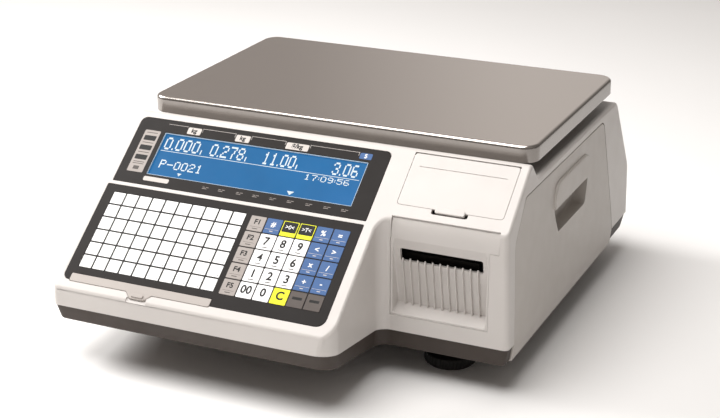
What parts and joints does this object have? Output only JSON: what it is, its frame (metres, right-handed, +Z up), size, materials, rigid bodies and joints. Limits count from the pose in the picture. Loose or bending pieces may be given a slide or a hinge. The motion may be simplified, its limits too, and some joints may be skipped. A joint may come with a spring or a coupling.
{
  "type": "retail price scale",
  "caption": "Counter scale with lift-off steel platter, sloped operator display and keypad, built-in label printer with lid, side door and label chute.",
  "frame": {"origin": "centre of the footprint, on the counter under the levelling feet", "axes": "+X to the operator's right, +Y away from the operator towards the customer, +Z up"},
  "size_m": [0.395, 0.478, 0.205],
  "materials": {
    "white_plastic": "satin moulded",
    "black_plastic": "fine textured",
    "gloss_panel": "gloss printed film",
    "screen_blue": "backlit",
    "preset_card": "matt card under film",
    "grey_plastic": "satin moulded",
    "platter_steel": "brushed",
    "pin_steel": "polished",
    "zinc_steel": "zinc plated",
    "cast_aluminium": "as cast",
    "black_rubber": "matt",
    "circuit_board": "solder resist",
    "label_paper": "matt paper",
    "kraft_core": "kraft board",
    "nylon": "moulded",
    "level_fluid": "clear vial"
  },
  "bodies": {
    "housing": {"upper_casing": "white_plastic", "base_tray": "black_plastic", "door_pin_front": "pin_steel", "door_pin_rear": "pin_steel", "display_panel": "gloss_panel", "lcd_screen": "screen_blue", "lcd_board": "circuit_board", "keypad_overlay": "gloss_panel", "keypad_circuit": "circuit_board", "preset_sheet": "preset_card", "rear_display_panel": "gloss_panel", "rear_lcd_screen": "screen_blue", "platter_support": "cast_aluminium", "load_cell": "cast_aluminium", "load_cell_plate": "zinc_steel", "bubble_level": "level_fluid", "support_pad_1": "black_rubber", "support_pad_2": "black_rubber", "support_pad_3": "black_rubber", "support_pad_4": "black_rubber", "load_cell_bolt_1": "zinc_steel", "load_cell_bolt_2": "zinc_steel", "lid_hinge_pin": "pin_steel", "label_outlet": "white_plastic", "printer_frame": "zinc_steel", "stepper_motor": "zinc_steel", "drive_belt": "black_rubber", "peel_bar": "pin_steel", "main_board": "circuit_board", "power_supply": "zinc_steel", "mains_inlet": "black_plastic", "port_block": "zinc_steel", "switch_housing": "black_plastic", "casing_screw_1": "zinc_steel", "casing_screw_2": "zinc_steel", "casing_screw_3": "zinc_steel", "casing_screw_4": "zinc_steel"},
    "platter": {"platter": "platter_steel"},
    "lid": {"printer_lid": "white_plastic"},
    "door": {"side_door": "white_plastic"},
    "flap": {"card_flap": "grey_plastic"},
    "platen": {"platen_roller": "black_rubber", "platen_gear": "nylon"},
    "pinion": {"motor_pinion": "nylon"},
    "supply": {"label_roll": "label_paper", "roll_core": "kraft_core", "roll_hub": "grey_plastic"},
    "takeup": {"takeup_spool": "grey_plastic"},
    "head": {"head_bracket": "zinc_steel", "print_head": "cast_aluminium"},
    "rocker": {"power_rocker": "black_rubber"},
    "foot_1": {"levelling_foot_1": "black_rubber"},
    "foot_2": {"levelling_foot_2": "black_rubber"},
    "foot_3": {"levelling_foot_3": "black_rubber"},
    "foot_4": {"levelling_foot_4": "black_rubber"}
  },
  "joints": [
    {"name": "platter_lift", "type": "slide", "parent": "housing", "child": "platter", "axis": [0, 0, 1], "range_m": [0, 0.12]},
    {"name": "lid_hinge", "type": "hinge", "parent": "housing", "child": "lid", "pos_m": [0.1365, -0.08402, 0.18955], "axis": [-1, 0, 0], "range_deg": [0, 95]},
    {"name": "door_hinge", "type": "hinge", "parent": "housing", "child": "door", "pos_m": [0.1905, 0.027, 0.032], "axis": [0, 1, 0], "range_deg": [0, 85]},
    {"name": "flap_hinge", "type": "hinge", "parent": "housing", "child": "flap", "pos_m": [-0.112, -0.22482, 0.08378], "axis": [-1, 0, 0], "range_deg": [0, 75]},
    {"name": "platen_spin", "type": "hinge", "parent": "housing", "child": "platen", "pos_m": [0.124, -0.112, 0.11], "axis": [1, 0, 0], "continuous": true},
    {"name": "pinion_spin", "type": "hinge", "parent": "housing", "child": "pinion", "pos_m": [0.08, -0.11585, 0.0857], "axis": [1, 0, 0], "continuous": true},
    {"name": "supply_spin", "type": "hinge", "parent": "housing", "child": "supply", "pos_m": [0.121, 0.03, 0.1], "axis": [1, 0, 0], "continuous": true},
    {"name": "takeup_spin", "type": "hinge", "parent": "housing", "child": "takeup", "pos_m": [0.12, -0.062, 0.07], "axis": [1, 0, 0], "continuous": true},
    {"name": "head_lift", "type": "hinge", "parent": "housing", "child": "head", "pos_m": [0.124, -0.075, 0.128], "axis": [-1, 0, 0], "range_deg": [0, 25]},
    {"name": "power_switch", "type": "hinge", "parent": "housing", "child": "rocker", "pos_m": [-0.118, 0.232, 0.063], "axis": [-1, 0, 0], "range_deg": [0, 12]},
    {"name": "foot_1_screw", "type": "hinge", "parent": "housing", "child": "foot_1", "pos_m": [-0.126, -0.088, 0.006], "axis": [0, 0, 1], "continuous": true},
    {"name": "foot_2_screw", "type": "hinge", "parent": "housing", "child": "foot_2", "pos_m": [0.126, -0.088, 0.006], "axis": [0, 0, 1], "continuous": true},
    {"name": "foot_3_screw", "type": "hinge", "parent": "housing", "child": "foot_3", "pos_m": [-0.126, 0.19, 0.006], "axis": [0, 0, 1], "continuous": true},
    {"name": "foot_4_screw", "type": "hinge", "parent": "housing", "child": "foot_4", "pos_m": [0.126, 0.19, 0.006], "axis": [0, 0, 1], "continuous": true}
  ],
  "couplings": [
    {"joint": "pinion_spin", "follows": "platen_spin", "ratio": -2.5},
    {"joint": "takeup_spin", "follows": "platen_spin", "ratio": 0.7778},
    {"joint": "supply_spin", "follows": "platen_spin", "ratio": 0.16}
  ]
}
